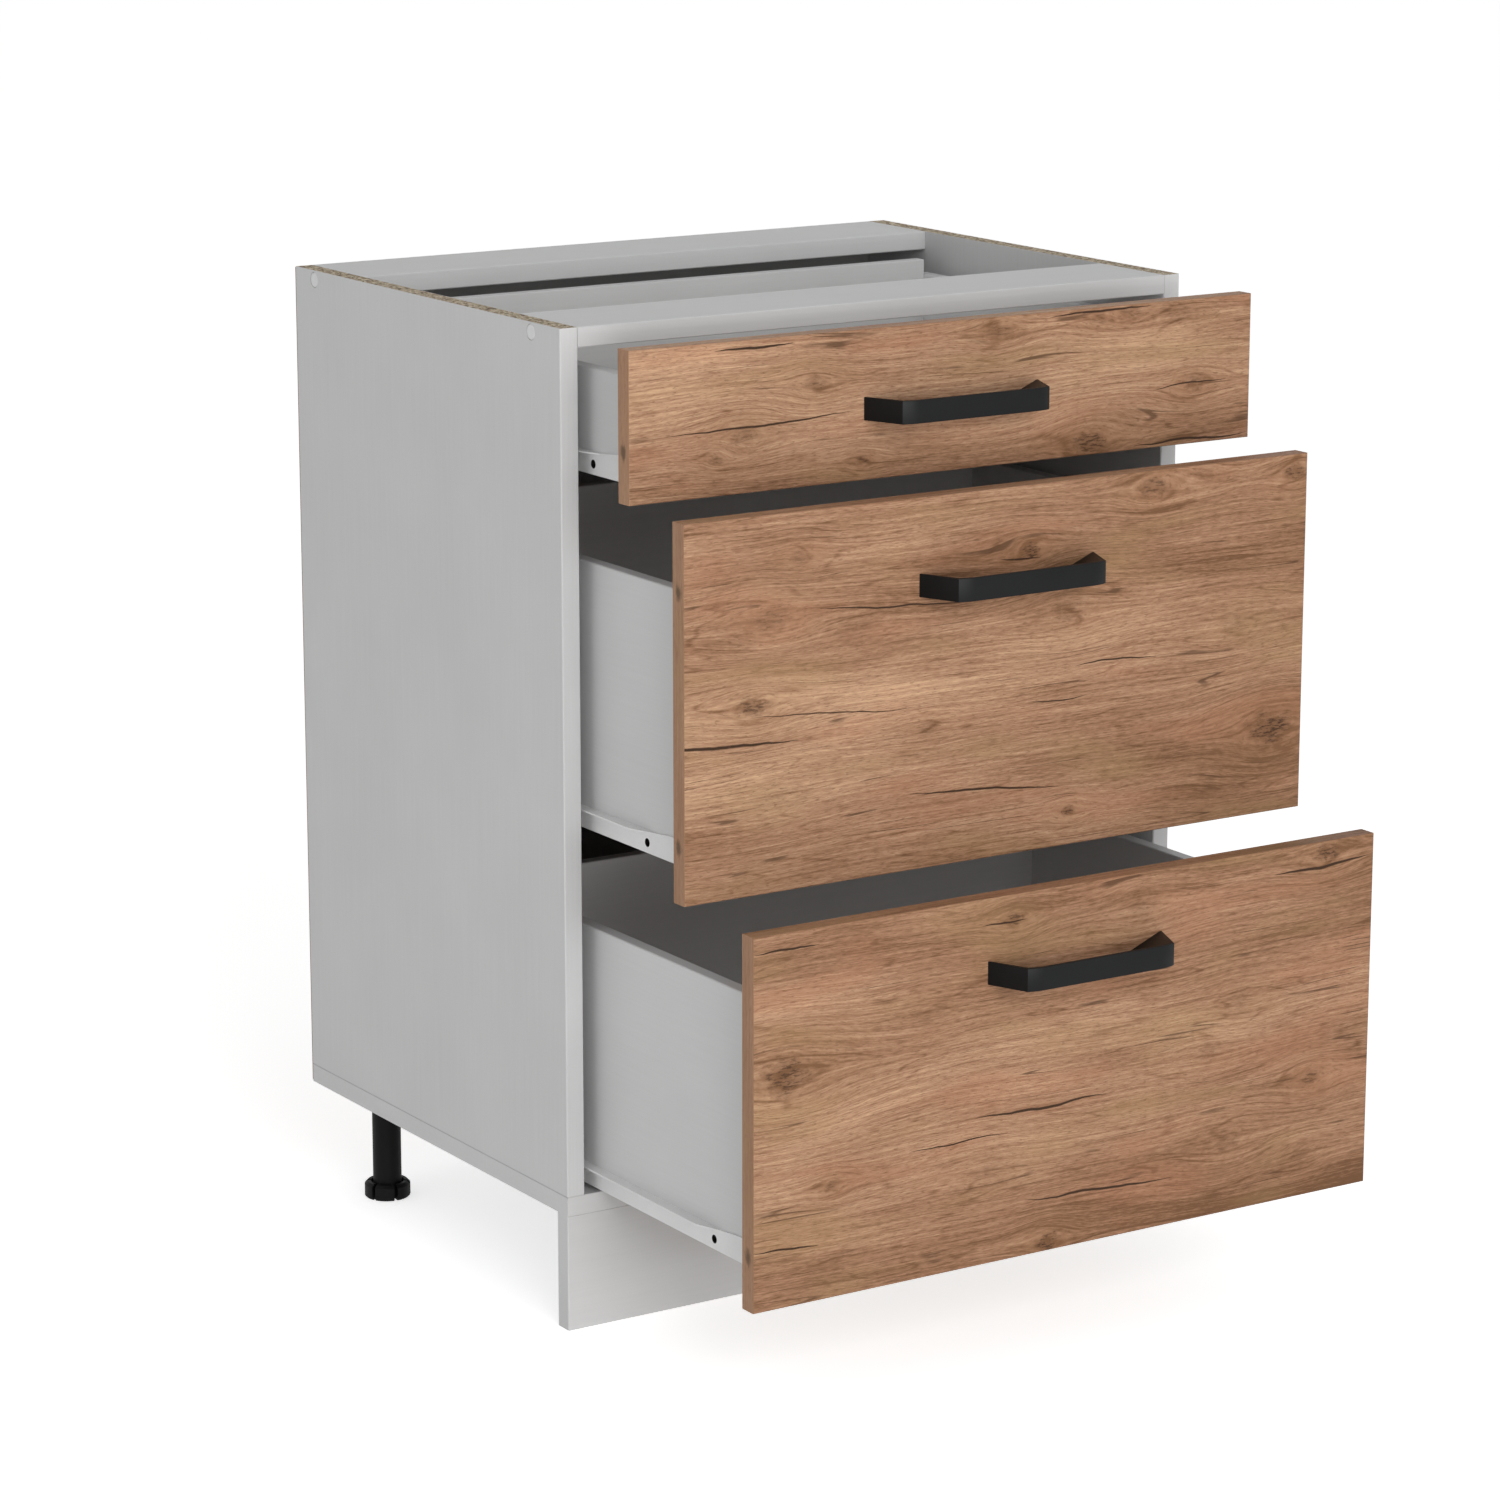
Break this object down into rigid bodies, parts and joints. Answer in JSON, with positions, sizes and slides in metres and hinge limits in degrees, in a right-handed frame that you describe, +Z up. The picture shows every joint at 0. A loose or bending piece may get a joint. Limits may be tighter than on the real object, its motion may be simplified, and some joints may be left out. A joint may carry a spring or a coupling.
{
  "type": "kitchen base cabinet",
  "caption": "Base cabinet with drawers on roller runners, wood-look fronts with bow handles, a plinth in front and adjustable legs behind, open on top for a worktop.",
  "frame": {"origin": "on the floor, mid-width, in the plane of the carcass front (front lower edge of the plinth)", "axes": "+X to the right seen from the front, +Y towards the wall, +Z up; drawers open towards -Y"},
  "size_m": [0.6, 0.7545, 0.816],
  "materials": {
    "grey_board": "light grey melamine faced chipboard",
    "oak_front": "rustic oak decor, matt, grain across",
    "hardboard": "faced hardboard",
    "beech": "plain beech",
    "black_metal": "matt black powder coat",
    "black_plastic": "moulded black plastic",
    "grey_plastic": "light grey moulded plastic",
    "nylon": "white nylon",
    "white_steel": "white epoxy coated sheet steel",
    "zinc_steel": "bright zinc plate"
  },
  "bodies": {
    "carcass": {"side_panel_left": "grey_board", "side_panel_right": "grey_board", "bottom_panel": "grey_board", "front_rail": "grey_board", "back_rail": "grey_board", "plinth": "grey_board", "back_panel": "hardboard", "back_panel_nails": "zinc_steel", "plinth_brackets": "zinc_steel", "confirmat_screws": "zinc_steel", "cover_caps": "grey_plastic", "rail_dowels": "beech", "rear_leg_left": "black_plastic", "rear_leg_right": "black_plastic", "cabinet_runner_left_1": "white_steel", "cabinet_runner_right_1": "white_steel", "cabinet_runner_left_2": "white_steel", "cabinet_runner_right_2": "white_steel", "cabinet_runner_left_3": "white_steel", "cabinet_runner_right_3": "white_steel"},
    "foot_left": {"levelling_foot_left": "black_plastic"},
    "foot_right": {"levelling_foot_right": "black_plastic"},
    "drawer_1": {"drawer_1_front": "oak_front", "drawer_1_side_left": "grey_board", "drawer_1_side_right": "grey_board", "drawer_1_back": "grey_board", "drawer_1_bottom": "hardboard", "drawer_1_runner_left": "white_steel", "drawer_1_runner_right": "white_steel", "drawer_1_handle": "black_metal", "drawer_1_handle_screws": "zinc_steel", "drawer_1_box_fasteners": "zinc_steel"},
    "front_rollers_1": {"cabinet_rollers_1": "nylon"},
    "rear_rollers_1": {"drawer_1_rollers": "nylon"},
    "drawer_2": {"drawer_2_front": "oak_front", "drawer_2_side_left": "grey_board", "drawer_2_side_right": "grey_board", "drawer_2_back": "grey_board", "drawer_2_bottom": "hardboard", "drawer_2_runner_left": "white_steel", "drawer_2_runner_right": "white_steel", "drawer_2_handle": "black_metal", "drawer_2_handle_screws": "zinc_steel", "drawer_2_box_fasteners": "zinc_steel"},
    "front_rollers_2": {"cabinet_rollers_2": "nylon"},
    "rear_rollers_2": {"drawer_2_rollers": "nylon"},
    "drawer_3": {"drawer_3_front": "oak_front", "drawer_3_side_left": "grey_board", "drawer_3_side_right": "grey_board", "drawer_3_back": "grey_board", "drawer_3_bottom": "hardboard", "drawer_3_runner_left": "white_steel", "drawer_3_runner_right": "white_steel", "drawer_3_handle": "black_metal", "drawer_3_handle_screws": "zinc_steel", "drawer_3_box_fasteners": "zinc_steel"},
    "front_rollers_3": {"cabinet_rollers_3": "nylon"},
    "rear_rollers_3": {"drawer_3_rollers": "nylon"}
  },
  "joints": [
    {"name": "foot_left_screw_out", "type": "slide", "parent": "carcass", "child": "foot_left", "axis": [0, 0, -1], "range_m": [0, 0.02]},
    {"name": "foot_right_screw_out", "type": "slide", "parent": "carcass", "child": "foot_right", "axis": [0, 0, -1], "range_m": [0, 0.02]},
    {"name": "drawer_1_slide", "type": "slide", "parent": "carcass", "child": "drawer_1", "axis": [0, -1, 0], "range_m": [-0.0815, 0.207]},
    {"name": "front_rollers_1_spin", "type": "hinge", "parent": "carcass", "child": "front_rollers_1", "pos_m": [0, 0.03, 0.7075], "axis": [1, 0, 0], "continuous": true},
    {"name": "rear_rollers_1_spin", "type": "hinge", "parent": "drawer_1", "child": "rear_rollers_1", "pos_m": [0, 0.305, 0.7075], "axis": [1, 0, 0], "continuous": true},
    {"name": "drawer_2_slide", "type": "slide", "parent": "carcass", "child": "drawer_2", "axis": [0, -1, 0], "range_m": [-0.1595, 0.129]},
    {"name": "front_rollers_2_spin", "type": "hinge", "parent": "carcass", "child": "front_rollers_2", "pos_m": [0, 0.03, 0.4205], "axis": [1, 0, 0], "continuous": true},
    {"name": "rear_rollers_2_spin", "type": "hinge", "parent": "drawer_2", "child": "rear_rollers_2", "pos_m": [0, 0.227, 0.4205], "axis": [1, 0, 0], "continuous": true},
    {"name": "drawer_3_slide", "type": "slide", "parent": "carcass", "child": "drawer_3", "axis": [0, -1, 0], "range_m": [-0.2565, 0.032]},
    {"name": "front_rollers_3_spin", "type": "hinge", "parent": "carcass", "child": "front_rollers_3", "pos_m": [0, 0.03, 0.124], "axis": [1, 0, 0], "continuous": true},
    {"name": "rear_rollers_3_spin", "type": "hinge", "parent": "drawer_3", "child": "rear_rollers_3", "pos_m": [0, 0.13, 0.124], "axis": [1, 0, 0], "continuous": true}
  ],
  "couplings": [
    {"joint": "front_rollers_1_spin", "follows": "drawer_1_slide", "rad_per_m": 111.11},
    {"joint": "rear_rollers_1_spin", "follows": "drawer_1_slide", "rad_per_m": 111.11},
    {"joint": "front_rollers_2_spin", "follows": "drawer_2_slide", "rad_per_m": 111.11},
    {"joint": "rear_rollers_2_spin", "follows": "drawer_2_slide", "rad_per_m": 111.11},
    {"joint": "front_rollers_3_spin", "follows": "drawer_3_slide", "rad_per_m": 111.11},
    {"joint": "rear_rollers_3_spin", "follows": "drawer_3_slide", "rad_per_m": 111.11}
  ]
}
